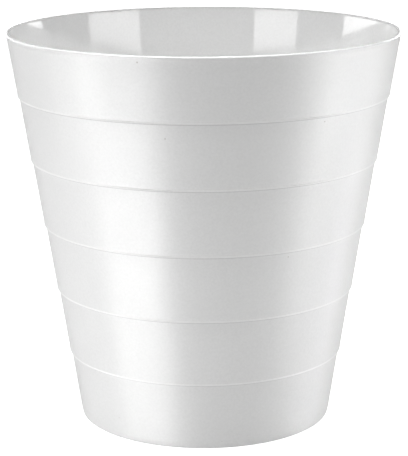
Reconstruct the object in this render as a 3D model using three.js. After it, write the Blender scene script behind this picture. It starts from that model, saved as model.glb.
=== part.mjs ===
// A round tapered wastebasket, moulded in one shot from white plastic: a rounded rim, six plain
// wall bands that step inwards by a small ledge on the way down, a floor and a foot ring.
// Units are millimetres. The origin is the middle of the footprint and +Z is up.
import * as THREE from 'three';

// Outside shape.
const HEIGHT = 282.3;
const RIM_RADIUS = 140;
const BASE_RADIUS = 91.5;
const LEDGE_HEIGHTS = [237.3, 191.1, 144, 96.5, 48.9]; // underside of bands 1 to 5, rim first
const LEDGE_DEPTH = 1; // each band stands this far outside the band below it
const BELL = 1.2; // the wall's taper opens up towards the rim by this much more than a cone's

// Wall, rim, floor and foot.
const WALL = 1.6;
const LEDGE_ROUND = 0.6; // rounded lower edge of each band
const RIM_HEIGHT = 3.4;
const RIM_WIDTH = 2;
const RIM_OUTER_ROUND = 1.3;
const RIM_INNER_ROUND = 0.2;
const FOOT_HEIGHT = 3.5;
const FOOT_ROUND = 1.2;
const FLOOR_THICKNESS = 1.8;
const FLOOR_CROWN = 1.5; // the floor's middle is raised by this much
const FLOOR_FILLET = 3; // inside corner between floor and wall
const GATE_RADIUS = 7; // shallow round recess under the floor's middle, with the gate stub in it
const GATE_DEPTH = 0.6;
const GATE_STUB_RADIUS = 1.6;
const GATE_STUB_HEIGHT = 0.4;

// Mesh resolution.
const SEGMENTS = 72;
const ROUND_STEPS = 3;
const CROWN_STEPS = 5;

const BANDS = LEDGE_HEIGHTS.length + 1;
const CONE_GROWTH = RIM_RADIUS - BASE_RADIUS - LEDGE_HEIGHTS.length * LEDGE_DEPTH;
const RIM_BOTTOM = HEIGHT - RIM_HEIGHT;
const FLOOR_RADIUS = BASE_RADIUS - WALL - FLOOR_FILLET;

// Outside radius of a band at a height, without the rounding of its lower edge. Band 1 is the top.
function outerRadius(band, z) {
  const t = z / HEIGHT;
  const cone = BASE_RADIUS + (CONE_GROWTH - BELL) * t + BELL * t * t;
  return cone + (BANDS - band) * LEDGE_DEPTH;
}

// Points of a round corner, from one angle to another in degrees. Angle 0 points away from the axis
// and 90 points up.
function corner(centreR, centreZ, radius, fromDegrees, toDegrees) {
  const points = [];
  for (let i = 0; i <= ROUND_STEPS; i += 1) {
    const angle = THREE.MathUtils.degToRad(THREE.MathUtils.lerp(fromDegrees, toDegrees, i / ROUND_STEPS));
    points.push([centreR + radius * Math.cos(angle), centreZ + radius * Math.sin(angle)]);
  }
  return points;
}

// Turns a profile of [radius, height] points about the vertical axis. The profile runs anticlockwise,
// with the radius to the right, and is closed here unless it starts and ends on the axis.
function turned(name, profile, material) {
  const points = profile.map(([r, z]) => new THREE.Vector2(r, z));
  const onAxis = profile[0][0] === 0;
  if (!onAxis) points.push(points[0].clone());
  const geometry = new THREE.LatheGeometry(points, SEGMENTS);
  geometry.rotateX(Math.PI / 2);
  const mesh = new THREE.Mesh(geometry, material);
  mesh.name = name;
  return mesh;
}

function rimBead() {
  const material = new THREE.MeshStandardMaterial({ color: '#f6f6f5', roughness: 0.3, metalness: 0 });
  const innerRadius = RIM_RADIUS - RIM_WIDTH;
  return turned('rim_bead', [
    [outerRadius(1, RIM_BOTTOM), RIM_BOTTOM],
    ...corner(RIM_RADIUS - RIM_OUTER_ROUND, HEIGHT - RIM_OUTER_ROUND, RIM_OUTER_ROUND, 0, 90),
    ...corner(innerRadius + RIM_INNER_ROUND, HEIGHT - RIM_INNER_ROUND, RIM_INNER_ROUND, 90, 180),
    [outerRadius(1, RIM_BOTTOM) - RIM_WIDTH, RIM_BOTTOM],
  ], material);
}

// A band that ends below in a ledge. The wall keeps its thickness round the ledge, so the inside
// steps in one wall thickness higher than the outside.
function ledgedBand(band) {
  const material = new THREE.MeshStandardMaterial({ color: '#f1f1f0', roughness: 0.45, metalness: 0 });
  const top = band === 1 ? RIM_BOTTOM : LEDGE_HEIGHTS[band - 2];
  const bottom = LEDGE_HEIGHTS[band - 1];
  const shelf = bottom + WALL;
  const roundRadius = outerRadius(band, bottom) - LEDGE_ROUND;
  return turned(`wall_band_${band}`, [
    ...corner(roundRadius, bottom + LEDGE_ROUND, LEDGE_ROUND, -90, 0),
    [outerRadius(band, top), top],
    [outerRadius(band, top) - WALL, top],
    [outerRadius(band, shelf) - WALL, shelf],
    [outerRadius(band + 1, shelf) - WALL, shelf],
    [outerRadius(band + 1, bottom) - WALL, bottom],
  ], material);
}

// The lowest band has no ledge: it stands on the foot ring and curves into the floor inside.
function lowestBand() {
  const material = new THREE.MeshStandardMaterial({ color: '#f1f1f0', roughness: 0.45, metalness: 0 });
  const top = LEDGE_HEIGHTS[BANDS - 2];
  const floorTop = FOOT_HEIGHT + FLOOR_THICKNESS;
  const fillet = corner(FLOOR_RADIUS, floorTop + FLOOR_FILLET, FLOOR_FILLET, 0, -90);
  const innerAtFillet = outerRadius(BANDS, floorTop + FLOOR_FILLET) - WALL;
  fillet[0][0] = innerAtFillet;
  return turned(`wall_band_${BANDS}`, [
    [FLOOR_RADIUS, FOOT_HEIGHT],
    [outerRadius(BANDS, FOOT_HEIGHT), FOOT_HEIGHT],
    [outerRadius(BANDS, top), top],
    [outerRadius(BANDS, top) - WALL, top],
    ...fillet,
  ], material);
}

function footRing() {
  const material = new THREE.MeshStandardMaterial({ color: '#eeeeed', roughness: 0.5, metalness: 0 });
  const outer = outerRadius(BANDS, 0);
  const inner = FLOOR_RADIUS + FOOT_ROUND / 2;
  return turned('foot_ring', [
    ...corner(inner + FOOT_ROUND / 2, FOOT_ROUND / 2, FOOT_ROUND / 2, 180, 270),
    ...corner(outer - FOOT_ROUND, FOOT_ROUND, FOOT_ROUND, -90, 0),
    [outerRadius(BANDS, FOOT_HEIGHT), FOOT_HEIGHT],
    [inner, FOOT_HEIGHT],
  ], material);
}

// Height by which the crowned floor is raised at a radius.
function crown(r) {
  const t = r / FLOOR_RADIUS;
  return FLOOR_CROWN * (1 - t * t);
}

function baseFloor() {
  const material = new THREE.MeshStandardMaterial({ color: '#eeeeed', roughness: 0.35, metalness: 0 });
  const underside = [
    [0, FOOT_HEIGHT + crown(0) + GATE_DEPTH - GATE_STUB_HEIGHT],
    [GATE_STUB_RADIUS, FOOT_HEIGHT + crown(0) + GATE_DEPTH - GATE_STUB_HEIGHT],
    [GATE_STUB_RADIUS, FOOT_HEIGHT + crown(0) + GATE_DEPTH],
    [GATE_RADIUS - GATE_DEPTH, FOOT_HEIGHT + crown(0) + GATE_DEPTH],
  ];
  const topSide = [];
  for (let i = 0; i <= CROWN_STEPS; i += 1) {
    const r = THREE.MathUtils.lerp(GATE_RADIUS, FLOOR_RADIUS, i / CROWN_STEPS);
    underside.push([r, FOOT_HEIGHT + crown(r)]);
    topSide.unshift([r, FOOT_HEIGHT + FLOOR_THICKNESS + crown(r)]);
  }
  topSide.push([0, FOOT_HEIGHT + FLOOR_THICKNESS + crown(0)]);
  return turned('base_floor', [...underside, ...topSide], material);
}

const wastebasket = new THREE.Group();
wastebasket.add(rimBead());
for (let band = 1; band < BANDS; band += 1) wastebasket.add(ledgedBand(band));
wastebasket.add(lowestBand(), baseFloor(), footRing());

export default wastebasket;
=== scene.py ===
"""A white moulded wastebasket, finished round its CAD frame. Lengths are in metres."""
import math

import bmesh
import bpy
from mathutils import Matrix, Quaternion, Vector

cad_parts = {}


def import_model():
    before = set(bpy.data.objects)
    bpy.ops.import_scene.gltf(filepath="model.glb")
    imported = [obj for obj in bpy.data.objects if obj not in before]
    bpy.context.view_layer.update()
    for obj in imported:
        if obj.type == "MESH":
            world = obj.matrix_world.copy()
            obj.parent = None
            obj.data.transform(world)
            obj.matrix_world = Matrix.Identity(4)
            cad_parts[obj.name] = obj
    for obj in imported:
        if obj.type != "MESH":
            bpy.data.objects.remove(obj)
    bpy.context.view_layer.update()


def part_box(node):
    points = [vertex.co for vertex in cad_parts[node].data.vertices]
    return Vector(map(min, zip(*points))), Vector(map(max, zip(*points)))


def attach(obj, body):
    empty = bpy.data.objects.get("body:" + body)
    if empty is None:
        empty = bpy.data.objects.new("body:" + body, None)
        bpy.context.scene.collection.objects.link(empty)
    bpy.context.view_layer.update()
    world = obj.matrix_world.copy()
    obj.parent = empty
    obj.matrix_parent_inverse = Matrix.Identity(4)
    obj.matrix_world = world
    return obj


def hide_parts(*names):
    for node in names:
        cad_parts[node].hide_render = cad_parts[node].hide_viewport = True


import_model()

# Camera: where it stands, how it is turned, and its lens.
CAMERA_BACK = 1.253
CAMERA_UP = 0.442
CAMERA_DOWN_DEGREES = 13.70
CAMERA_ROLL_DEGREES = -0.28
CAMERA_YAW_DEGREES = 0.014
LENS_MM = 139.3
SENSOR_MM = 36.0

# Outside shape that the frame's boxes don't give.
LEDGE_DEPTH = 0.001
BELL = 0.0012
WALL = 0.0016
RIM_WIDTH = 0.002
FLOOR_FILLET = 0.003
FLOOR_CROWN = 0.0015
GATE_RADIUS = 0.007
GATE_DEPTH = 0.0006
GATE_STUB_RADIUS = 0.0016
GATE_STUB_HEIGHT = 0.0004

# Rounded edges, and the lip and groove that shape the line at each ledge; the lip's material adds a painted
# highlight and the groove's material adds painted shade.
RIM_OUTER_ROUND = 0.0013
RIM_INNER_ROUND = 0.0002
RIM_TAPER = 0.0012
LEDGE_ROUND = 0.00025
LIP_DEPTH = 0.0002
LIP_HEIGHT = 0.0013
GROOVE_DEPTH = 0.0001
GROOVE_HEIGHT = 0.0008
SHELF_ROUND = 0.0004
FOOT_ROUND = 0.0012

# Support loops beside the sharp edges, and the share of a short stretch they may take.
SUPPORT = 0.00025
SUPPORT_SHARE = 0.3
SHARP_DEGREES = 35

# How far the thin wall stands off its true circle, and the height where that starts in full.
WOBBLE = 0.00012
WOBBLE_FULL_HEIGHT = 0.06

# The plastic's surface: sizes in metres, and clouds as noise scales.
WHITE = (0.86, 0.86, 0.858)
# The next colour is a painted highlight: the lips are painted lighter than the wall.
LIP_PAINTED_HIGHLIGHT = (0.93, 0.93, 0.928)
POLISHED_WHITE = (0.87, 0.87, 0.868)
# The next colour is painted shade: the grooves under the ledges are painted grey.
GROOVE_PAINTED_SHADE = (0.76, 0.76, 0.76)
CLOUD_SCALE = 22.0
CLOUD_DULLING = 0.975
HANDLING_SCALE = 45.0
MOTTLE_DULLING = 0.95
MOTTLE_SIZE = 0.0016
SPECK_CELL = 0.03
SPECK_SIZE = 0.0011
SPECK_COLOUR = (0.60, 0.585, 0.56)
SATIN_GRAIN = 0.0011
SATIN_GRAIN_HEIGHT = 0.00006
GLOSS_GRAIN = 0.004
GLOSS_GRAIN_HEIGHT = 0.00001
SURFACE_REFLECTION = 1.0

# The studio. Lights under the table stand nearer than the ones above it.
LIGHT_DISTANCE = 1.5
UNDER_DISTANCE = 1.2
ROOM_LIGHT = 0.02
FLOOR_HALF_SIZE = 6.0
FLOOR_ALBEDO = 0.35
FLOOR_ROUGHNESS = 0.7
FLOOR_LIFT = 1.12
CONTRAST_GAMMA = 0.8

# Mesh resolution.
SEGMENTS = 256
WALL_ROWS = 10
LIP_ROWS = 6
GROOVE_ROWS = 6
ROUND_STEPS = 6
FLOOR_ROWS = 24
SAME_POINT = 1e-7
ON_AXIS = 1e-9

BANDS = [f"wall_band_{i}" for i in range(1, 7)]
RIM_LOW, RIM_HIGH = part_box("rim_bead")
FOOT_LOW, FOOT_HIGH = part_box("foot_ring")
FLOOR_LOW, FLOOR_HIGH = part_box("base_floor")
HEIGHT = RIM_HIGH.z
RIM_RADIUS = RIM_HIGH.x
FLOOR_RADIUS = FLOOR_HIGH.x
FLOOR_UNDER = FLOOR_LOW.z
FLOOR_TOP = FLOOR_HIGH.z - FLOOR_CROWN
BASE_RADIUS = FLOOR_RADIUS + WALL + FLOOR_FILLET
CONE_GROWTH = RIM_RADIUS - BASE_RADIUS - (len(BANDS) - 1) * LEDGE_DEPTH


def outer_radius(band, z):
    """Outside radius of a wall band, 1 at the top, at a height."""
    t = z / HEIGHT
    cone = BASE_RADIUS + (CONE_GROWTH - BELL) * t + BELL * t * t
    return cone + (len(BANDS) - band) * LEDGE_DEPTH


def arc(centre_r, centre_z, radius, from_degrees, to_degrees):
    """Points of a round corner. Angle 0 points away from the axis and 90 points up."""
    points = []
    for i in range(ROUND_STEPS + 1):
        angle = math.radians(from_degrees + (to_degrees - from_degrees) * i / ROUND_STEPS)
        points.append((centre_r + radius * math.cos(angle), centre_z + radius * math.sin(angle)))
    return points


def wall_line(band, inset, z_from, z_to):
    """Points along a band's wall, inset from its outside, with a support loop near each end."""
    step = math.copysign(SUPPORT, z_to - z_from)
    heights = [z_from, z_from + step]
    for i in range(1, WALL_ROWS):
        heights.append(z_from + (z_to - z_from) * i / WALL_ROWS)
    heights += [z_to - step, z_to]
    return [(outer_radius(band, z) - inset, z) for z in heights]


def line(start, end):
    """Points of a short straight stretch, with a support loop near each end."""
    length = math.dist(start, end)
    share = min(SUPPORT / length, SUPPORT_SHARE)
    points = []
    for t in (0, share, 1 - share, 1):
        points.append((start[0] + (end[0] - start[0]) * t, start[1] + (end[1] - start[1]) * t))
    return points


def wobble(angle, z):
    """How far the thin wall stands off its true circle, from uneven cooling in the mould."""
    share = min(z / WOBBLE_FULL_HEIGHT, 1.0)
    oval = 0.5 * math.sin(2 * angle + 0.7)
    three_sided = 0.3 * math.sin(3 * angle - 1.1 + 9 * z)
    ripple = 0.2 * math.sin(7 * angle + 21 * z)
    return WOBBLE * share * (oval + three_sided + ripple)


def joined(runs):
    """One profile from its stretches: its points, the material number of the face that follows
    each, and the materials. A point shared by two stretches is kept once."""
    points, numbers, materials = [], [], []
    for material, stretch in runs:
        if material not in materials:
            materials.append(material)
        for point in stretch:
            if points and math.dist(points[-1], point) < SAME_POINT:
                numbers[-1] = materials.index(material)
                continue
            points.append(point)
            numbers.append(materials.index(material))
    if points[0][0] > 0 and math.dist(points[0], points[-1]) < SAME_POINT:
        points.pop()
        numbers.pop()
    return points, numbers, materials


def ring_vertices(points):
    """The vertices of a turned profile, and each point's ring of vertex numbers. A point on the
    axis is a single vertex."""
    vertices, rings = [], []
    for r, z in points:
        if r < ON_AXIS:
            rings.append([len(vertices)] * SEGMENTS)
            vertices.append((0, 0, z))
            continue
        rings.append(range(len(vertices), len(vertices) + SEGMENTS))
        for i in range(SEGMENTS):
            angle = 2 * math.pi * i / SEGMENTS
            radius = r + wobble(angle, z) * min(r / BASE_RADIUS, 1.0)
            vertices.append((radius * math.cos(angle), radius * math.sin(angle), z))
    return vertices, rings


def ring_faces(rings, numbers, closed):
    """The faces between neighbouring rings, and their material numbers."""
    faces, face_numbers = [], []
    for k in range(len(rings) if closed else len(rings) - 1):
        low, high = rings[k], rings[(k + 1) % len(rings)]
        for i in range(SEGMENTS):
            j = (i + 1) % SEGMENTS
            corners = dict.fromkeys([low[i], low[j], high[j], high[i]])
            faces.append(list(corners))
            face_numbers.append(numbers[k])
    return faces, face_numbers


def turned(name, node, runs):
    """A closed solid of revolution. runs is a list of (material, points): each stretch of the
    profile, anticlockwise with the radius to the right, and the material of its faces."""
    points, numbers, materials = joined(runs)
    vertices, rings = ring_vertices(points)
    faces, face_numbers = ring_faces(rings, numbers, closed=points[0][0] > 0)
    mesh = bpy.data.meshes.new(name)
    mesh.from_pydata(vertices, [], faces)
    mesh.validate()
    for material in materials:
        mesh.materials.append(material)
    mesh.polygons.foreach_set("material_index", face_numbers)
    mesh.shade_smooth()
    mesh.set_sharp_from_angle(angle=math.radians(SHARP_DEGREES))
    piece = bpy.data.objects.new(name, mesh)
    bpy.context.scene.collection.objects.link(piece)
    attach(piece, "root")
    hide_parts(node)
    return piece


def rim_bead(outside, inside, polished):
    """The rounded edge round the open top. Inside, it tapers into the wall."""
    bottom = RIM_LOW.z
    taper_end = HEIGHT - RIM_INNER_ROUND - RIM_TAPER
    outer_bottom = (outer_radius(1, bottom), bottom)
    inner_bottom = (outer_radius(1, bottom) - WALL, bottom)
    inner_taper_end = (outer_radius(1, taper_end) - WALL, taper_end)
    outer_centre = RIM_RADIUS - RIM_OUTER_ROUND
    inner_centre = RIM_RADIUS - RIM_WIDTH + RIM_INNER_ROUND
    top = arc(outer_centre, HEIGHT - RIM_OUTER_ROUND, RIM_OUTER_ROUND, 0, 90)
    inner_edge = arc(inner_centre, HEIGHT - RIM_INNER_ROUND, RIM_INNER_ROUND, 90, 180)
    return turned("rim_bead_moulded", "rim_bead", [
        (outside, line(outer_bottom, top[0])),
        (polished, top + line(top[-1], inner_edge[0]) + inner_edge),
        (inside, line(inner_edge[-1], inner_taper_end)),
        (inside, line(inner_taper_end, inner_bottom)),
        (outside, [inner_bottom, outer_bottom]),
    ])


def lip(band, bottom):
    """A band's outside just above its lower edge, from the edge up, where it swells into a lip."""
    points = []
    for i in range(LIP_ROWS + 1):
        share = i / LIP_ROWS
        z = bottom + LEDGE_ROUND + (LIP_HEIGHT - LEDGE_ROUND) * share
        swell = LIP_DEPTH * (1 + math.cos(math.pi * share)) / 2
        points.append((outer_radius(band, z) + swell, z))
    return points


def groove(band, top):
    """A band's outside just under the ledge above it, where it draws in to a fine groove."""
    points = []
    for i in range(GROOVE_ROWS + 1):
        share = i / GROOVE_ROWS
        z = top - GROOVE_HEIGHT * (1 - share)
        draw = GROOVE_DEPTH * (1 - math.cos(math.pi * share)) / 2
        points.append((outer_radius(band, z) - draw, z))
    return points


def ledged_band(band, outside, inside, recess, edge):
    """One of the upper five wall bands, down to the ledge at its foot."""
    low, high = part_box(BANDS[band - 1])
    bottom, top = low.z, high.z
    shelf = bottom + WALL
    swell = lip(band, bottom)
    lower_edge = arc(swell[0][0] - LEDGE_ROUND, bottom + LEDGE_ROUND, LEDGE_ROUND, -90, 0)
    cut = groove(band, top) if band > 1 else [(outer_radius(band, top), top)]
    inner_shelf = outer_radius(band, shelf) - WALL
    inner_below = outer_radius(band + 1, shelf) - WALL
    inner_bottom = (outer_radius(band + 1, bottom) - WALL, bottom)
    nose = arc(inner_below + SHELF_ROUND, shelf - SHELF_ROUND, SHELF_ROUND, 90, 180)
    return turned(f"{BANDS[band - 1]}_moulded", BANDS[band - 1], [
        # The lip's faces take the material with the painted highlight.
        (edge, lower_edge[1:] + swell),
        (outside, wall_line(band, 0, swell[-1][1], cut[0][1])),
        # The groove's faces take the grey material that paints shade.
        (recess, cut),
        (inside, wall_line(band, WALL, top, shelf)),
        (inside, line((inner_shelf, shelf), nose[0]) + nose),
        (inside, line(nose[-1], inner_bottom)),
        (outside, [inner_bottom, lower_edge[0]]),
    ])


def lowest_band(outside, inside, recess):
    """The lowest wall band, with the inside corner to the floor."""
    band = len(BANDS)
    low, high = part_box(BANDS[-1])
    bottom, top = low.z, high.z
    fillet_top = FLOOR_TOP + FLOOR_FILLET
    fillet = arc(FLOOR_RADIUS, fillet_top, FLOOR_FILLET, 0, -90)
    fillet[0] = (outer_radius(band, fillet_top) - WALL, fillet_top)
    cut = groove(band, top)
    return turned(f"{BANDS[-1]}_moulded", BANDS[-1], [
        (outside, [(FLOOR_RADIUS, bottom)] + wall_line(band, 0, bottom, cut[0][1])),
        # The groove's faces take the grey material that paints shade.
        (recess, cut),
        (inside, wall_line(band, WALL, top, fillet_top) + fillet),
        (outside, [fillet[-1], (FLOOR_RADIUS, bottom)]),
    ])


def foot_ring(outside):
    """The ring that the basket stands on."""
    small = FOOT_ROUND / 2
    inner = FLOOR_RADIUS + small
    outer_top = (outer_radius(len(BANDS), FOOT_HIGH.z), FOOT_HIGH.z)
    return turned("foot_ring_moulded", "foot_ring", [
        (outside, arc(inner + small, small, small, 180, 270)),
        (outside, line((inner + small, 0), (BASE_RADIUS - FOOT_ROUND, 0))),
        (outside, arc(BASE_RADIUS - FOOT_ROUND, FOOT_ROUND, FOOT_ROUND, -90, 0)),
        (outside, line((BASE_RADIUS, FOOT_ROUND), outer_top)),
        (outside, [(inner, FOOT_HIGH.z)]),
    ])


def crown(r):
    """How far the floor is raised at a radius."""
    return FLOOR_CROWN * (1 - (r / FLOOR_RADIUS) ** 2)


def base_floor(outside, inside):
    """The crowned floor, with a round recess and the gate's stub under its middle."""
    recess = FLOOR_UNDER + crown(0) + GATE_DEPTH
    stub = recess - GATE_STUB_HEIGHT
    under = [(0, stub), (GATE_STUB_RADIUS, stub), (GATE_STUB_RADIUS, recess)]
    under += [(GATE_RADIUS - GATE_DEPTH, recess)]
    radii = [GATE_RADIUS + (FLOOR_RADIUS - GATE_RADIUS) * i / FLOOR_ROWS for i in range(FLOOR_ROWS + 1)]
    under += [(r, FLOOR_UNDER + crown(r)) for r in radii]
    above = [(r, FLOOR_TOP + crown(r)) for r in reversed(radii)]
    above += [(GATE_RADIUS / 2, FLOOR_TOP + crown(GATE_RADIUS / 2)), (0, FLOOR_TOP + crown(0))]
    return turned("base_floor_moulded", "base_floor", [
        (outside, under),
        (inside, above),
    ])


class Nodes:
    """Short ways to add and link a material's nodes."""

    def __init__(self, material):
        material.use_nodes = True
        self.tree = material.node_tree
        self.shader = self.tree.nodes["Principled BSDF"]

    def add(self, kind, values=None, **settings):
        node = self.tree.nodes.new(kind)
        for name, value in settings.items():
            setattr(node, name, value)
        for name, value in (values or {}).items():
            if isinstance(value, bpy.types.NodeSocket):
                self.tree.links.new(value, node.inputs[name])
            else:
                node.inputs[name].default_value = value
        return node

    def set(self, name, value):
        if isinstance(value, bpy.types.NodeSocket):
            self.tree.links.new(value, self.shader.inputs[name])
        else:
            self.shader.inputs[name].default_value = value


def speck(nodes, place, cell, size):
    """1 inside sparse dots, about size metres wide, one for each cell of that width in metres."""
    stretch = nodes.add("ShaderNodeTexNoise", {"Vector": place, "Scale": 3 / size, "Detail": 1.0})
    dots = nodes.add("ShaderNodeTexVoronoi", {"Vector": place, "Scale": 1 / cell})
    ragged = nodes.add("ShaderNodeMath", operation="MULTIPLY_ADD")
    nodes.tree.links.new(stretch.outputs["Fac"], ragged.inputs[0])
    ragged.inputs[1].default_value = 0.8 * size / cell
    nodes.tree.links.new(dots.outputs["Distance"], ragged.inputs[2])
    edge = nodes.add("ShaderNodeMapRange", {"Value": ragged.outputs[0]}, interpolation_type="SMOOTHSTEP")
    edge.inputs["From Min"].default_value = 0.7 * size / cell
    edge.inputs["From Max"].default_value = 1.1 * size / cell
    edge.inputs["To Min"].default_value = 1.0
    edge.inputs["To Max"].default_value = 0.0
    return edge.outputs["Result"]


def spread(nodes, value, low, high, from_low=0.3, from_high=0.7):
    """Maps a noise onto a range of values."""
    node = nodes.add("ShaderNodeMapRange", {"Value": value})
    for name, number in (("From Min", from_low), ("From Max", from_high), ("To Min", low), ("To Max", high)):
        node.inputs[name].default_value = number
    return node.outputs["Result"]


def dulled(colour, share):
    """A colour made darker by a share."""
    return tuple(part * share for part in colour)


def blend(nodes, factor, first, second):
    """One colour or another, by a factor."""
    node = nodes.add("ShaderNodeMix", {}, data_type="RGBA")
    nodes.tree.links.new(factor, node.inputs["Factor"])
    for name, colour in (("A", first), ("B", second)):
        if isinstance(colour, tuple):
            node.inputs[name].default_value = (*colour, 1)
        else:
            nodes.tree.links.new(colour, node.inputs[name])
    return node.outputs["Result"]


def plastic(name, colour, roughness, roughness_spread, grain, grain_height):
    """White moulded polypropylene. The mould's spark-eroded grain is a bump of that size, in
    metres, and the colour and gloss vary faintly, with a few grey specks."""
    material = bpy.data.materials.new(name)
    nodes = Nodes(material)
    place = nodes.add("ShaderNodeTexCoord").outputs["Object"]
    cloud = nodes.add("ShaderNodeTexNoise", {"Vector": place, "Scale": CLOUD_SCALE, "Detail": 3.0})
    tone = blend(nodes, cloud.outputs["Fac"], dulled(colour, CLOUD_DULLING), colour)
    mottle = nodes.add("ShaderNodeTexNoise", {"Vector": place, "Scale": 1 / MOTTLE_SIZE, "Detail": 2.0})
    patchy = spread(nodes, mottle.outputs["Fac"], 0.0, 1.0)
    tone = blend(nodes, patchy, dulled(colour, MOTTLE_DULLING), tone)
    speckled = blend(nodes, speck(nodes, place, SPECK_CELL, SPECK_SIZE), tone, SPECK_COLOUR)
    nodes.set("Base Color", speckled)
    handled = nodes.add("ShaderNodeTexNoise", {"Vector": place, "Scale": HANDLING_SCALE, "Detail": 5.0})
    low, high = roughness - roughness_spread, roughness + roughness_spread
    nodes.set("Roughness", spread(nodes, handled.outputs["Fac"], low, high))
    coarse = nodes.add("ShaderNodeTexNoise", {"Vector": place, "Scale": 1 / grain, "Detail": 3.0})
    bump = nodes.add("ShaderNodeBump", {"Height": coarse.outputs["Fac"], "Distance": grain_height})
    nodes.set("Normal", bump.outputs["Normal"])
    nodes.set("Specular IOR Level", SURFACE_REFLECTION)
    return material


def white_satin():
    """The grained outside of the walls, and the underside."""
    return plastic("white_satin", WHITE, 0.35, 0.03, SATIN_GRAIN, SATIN_GRAIN_HEIGHT)


def white_gloss():
    """The smoother inside."""
    return plastic("white_gloss", WHITE, 0.07, 0.015, GLOSS_GRAIN, GLOSS_GRAIN_HEIGHT)


def groove_painted_shade():
    """The fine groove under each ledge, where little light gets in, painted grey as painted shade."""
    return plastic("groove_painted_shade", GROOVE_PAINTED_SHADE, 0.5, 0.04, SATIN_GRAIN, SATIN_GRAIN_HEIGHT)


def lip_painted_highlight():
    """The lip at each ledge, painted lighter than the wall as a painted highlight that brightens the line
    there.
    """
    return plastic("lip_painted_highlight", LIP_PAINTED_HIGHLIGHT, 0.35, 0.03, SATIN_GRAIN, SATIN_GRAIN_HEIGHT)


def white_polished():
    """The smooth, shinier edge of the rim."""
    return plastic("white_polished", POLISHED_WHITE, 0.16, 0.03, GLOSS_GRAIN, GLOSS_GRAIN_HEIGHT)


def floor():
    """A pale studio table. It looks evenly white, and its surface takes and returns soft light."""
    mesh = bpy.data.meshes.new("studio_floor")
    maker = bmesh.new()
    bmesh.ops.create_grid(maker, x_segments=8, y_segments=8, size=FLOOR_HALF_SIZE)
    maker.to_mesh(mesh)
    maker.free()
    ground = bpy.data.objects.new("studio_floor", mesh)
    bpy.context.scene.collection.objects.link(ground)
    material = bpy.data.materials.new("studio_floor")
    nodes = Nodes(material)
    nodes.set("Base Color", (FLOOR_ALBEDO, FLOOR_ALBEDO, FLOOR_ALBEDO, 1))
    nodes.set("Roughness", FLOOR_ROUGHNESS)
    nodes.set("Emission Color", (1, 1, 1, 1))
    seen = nodes.add("ShaderNodeLightPath").outputs["Is Camera Ray"]
    lift = nodes.add("ShaderNodeMath", operation="MULTIPLY")
    nodes.tree.links.new(seen, lift.inputs[0])
    lift.inputs[1].default_value = FLOOR_LIFT
    nodes.set("Emission Strength", lift.outputs[0])
    mesh.materials.append(material)
    ground.visible_shadow = False


def soft_box(name, start, end, low, high, radiance, distance=LIGHT_DISTANCE, roll=0.0):
    """A soft light facing the basket, from one azimuth to another and from a low edge to a high
    one. Azimuths are in degrees, 0 at the camera and 90 at +X. A light below the table shines up
    through it."""
    angle = math.radians((start + end) / 2)
    away = Vector((math.sin(angle), -math.cos(angle), 0))
    width = 2 * distance * math.tan(math.radians(abs(end - start) / 2))
    data = bpy.data.lights.new(name, "AREA")
    data.shape = "RECTANGLE"
    data.size = width
    data.size_y = high - low
    data.energy = radiance * math.pi * width * (high - low)
    data.cycles.use_multiple_importance_sampling = low >= 0
    light = bpy.data.objects.new(name, data)
    light.location = away * distance + Vector((0, 0, (low + high) / 2))
    light.rotation_mode = "QUATERNION"
    turn = Quaternion((0, 0, 1), math.radians(roll))
    light.rotation_quaternion = away.to_track_quat("Z", "Y") @ turn
    light.visible_camera = False
    bpy.context.scene.collection.objects.link(light)


def overhead(name, place, size, radiance):
    """A square soft light facing straight down."""
    data = bpy.data.lights.new(name, "AREA")
    data.size = size
    data.energy = radiance * math.pi * size * size
    light = bpy.data.objects.new(name, data)
    light.location = place
    light.visible_camera = False
    bpy.context.scene.collection.objects.link(light)


def camera():
    """The eye, in front of the basket and a little above its rim."""
    down, roll = math.radians(CAMERA_DOWN_DEGREES), math.radians(CAMERA_ROLL_DEGREES)
    yaw = math.radians(CAMERA_YAW_DEGREES)
    data = bpy.data.cameras.new("camera")
    data.sensor_width = SENSOR_MM
    data.lens = LENS_MM
    eye = bpy.data.objects.new("camera", data)
    turn = Matrix.Rotation(yaw, 4, "Z") @ Matrix.Rotation(math.pi / 2 - down, 4, "X")
    eye.matrix_world = Matrix.Translation((0, -CAMERA_BACK, CAMERA_UP)) @ turn @ Matrix.Rotation(roll, 4, "Z")
    bpy.context.scene.collection.objects.link(eye)
    bpy.context.scene.camera = eye


def world():
    """A white backdrop for the camera, and a faint room light for everything else."""
    made = bpy.data.worlds.new("studio")
    made.use_nodes = True
    tree = made.node_tree
    backdrop = tree.nodes["Background"]
    backdrop.inputs["Color"].default_value = (1, 1, 1, 1)
    backdrop.inputs["Strength"].default_value = 1.0
    room = tree.nodes.new("ShaderNodeBackground")
    room.inputs["Color"].default_value = (1, 1, 1, 1)
    room.inputs["Strength"].default_value = ROOM_LIGHT
    path = tree.nodes.new("ShaderNodeLightPath")
    mix = tree.nodes.new("ShaderNodeMixShader")
    tree.links.new(path.outputs["Is Camera Ray"], mix.inputs["Fac"])
    tree.links.new(room.outputs[0], mix.inputs[1])
    tree.links.new(backdrop.outputs[0], mix.inputs[2])
    tree.links.new(mix.outputs[0], tree.nodes["World Output"].inputs["Surface"])
    bpy.context.scene.world = made


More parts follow.
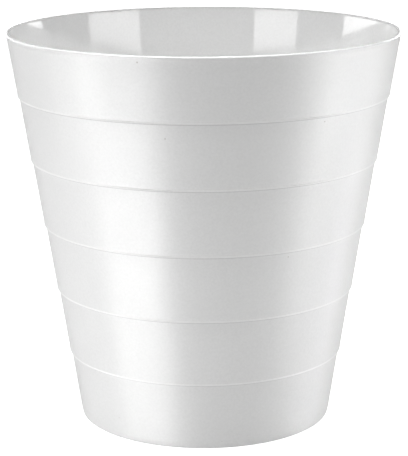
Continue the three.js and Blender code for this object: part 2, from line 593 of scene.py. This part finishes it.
def lights_beside():
    """The upright soft boxes above the table. They also show as reflections on the inside."""
    soft_box("softbox_left", -34.5, -64.5, 0.50, 1.2, 2.3, roll=3.5)
    soft_box("softbox_left_high", -32, -64.5, 0.9, 1.6, 2.6)
    soft_box("softbox_right", 43, 80, 0.486, 1.1, 2.2, roll=-3.5)
    soft_box("softbox_right_side", 75, 110, 0.9, 1.5, 0.7)
    soft_box("softbox_back_left", -100, -165, 0.19, 0.48, 2.9, roll=7)
    soft_box("softbox_back_right", 121, 165, 0.18, 0.55, 3.2, roll=-8.5)


def lights_under():
    """The soft boxes below the table, which light the walls from below."""
    soft_box("under_left_near", -29, -50, -0.6, -0.18, 5.0, distance=UNDER_DISTANCE)
    soft_box("under_left_low", -25, -50, -1.2, -0.5, 2.3, distance=UNDER_DISTANCE)
    soft_box("under_left_middle", -50, -75, -0.8, -0.02, 3.4, distance=UNDER_DISTANCE)
    soft_box("under_left_far", -65, -98, -0.3, 0.1, 1.7, distance=UNDER_DISTANCE)
    soft_box("under_right_front", 40, 62, -0.7, -0.1, 0.8, distance=UNDER_DISTANCE)
    soft_box("under_right_near", 60, 85, -0.6, -0.1, 2.5, distance=UNDER_DISTANCE)
    soft_box("under_right_middle", 68, 100, -0.3, 0.3, 2.9, distance=UNDER_DISTANCE)
    soft_box("under_right_far", 100, 125, -0.4, 0.25, 1.5, distance=UNDER_DISTANCE)
    soft_box("under_right_low", 85, 125, -1.2, -0.4, 1.05, distance=UNDER_DISTANCE)


def lights_overhead():
    """The soft lights over the basket, which light its inside and the upper edges."""
    overhead("overhead", (0, 0, 1.6), 1.2, 3.7)
    overhead("overhead_front", (0, -0.5, 1.5), 1.0, 1.7)
    overhead("overhead_left", (-0.7, 0.4, 1.4), 0.8, 2.5)
    overhead("overhead_right", (0.7, 0.4, 1.4), 0.8, 1.4)


def basket():
    """The whole moulding, zone by zone."""
    satin = white_satin()
    gloss = white_gloss()
    # The groove material paints shade under each ledge.
    recess = groove_painted_shade()
    # The lip material paints a highlight along each ledge.
    lip_highlight = lip_painted_highlight()
    polished = white_polished()
    rim_bead(satin, gloss, polished)
    for band in range(1, len(BANDS)):
        ledged_band(band, satin, gloss, recess, lip_highlight)
    lowest_band(satin, gloss, recess)
    base_floor(satin, gloss)
    foot_ring(satin)


camera()
world()
floor()
basket()
lights_beside()
lights_under()
lights_overhead()
bpy.context.scene.view_settings.view_transform = "Standard"
bpy.context.scene.view_settings.gamma = CONTRAST_GAMMA
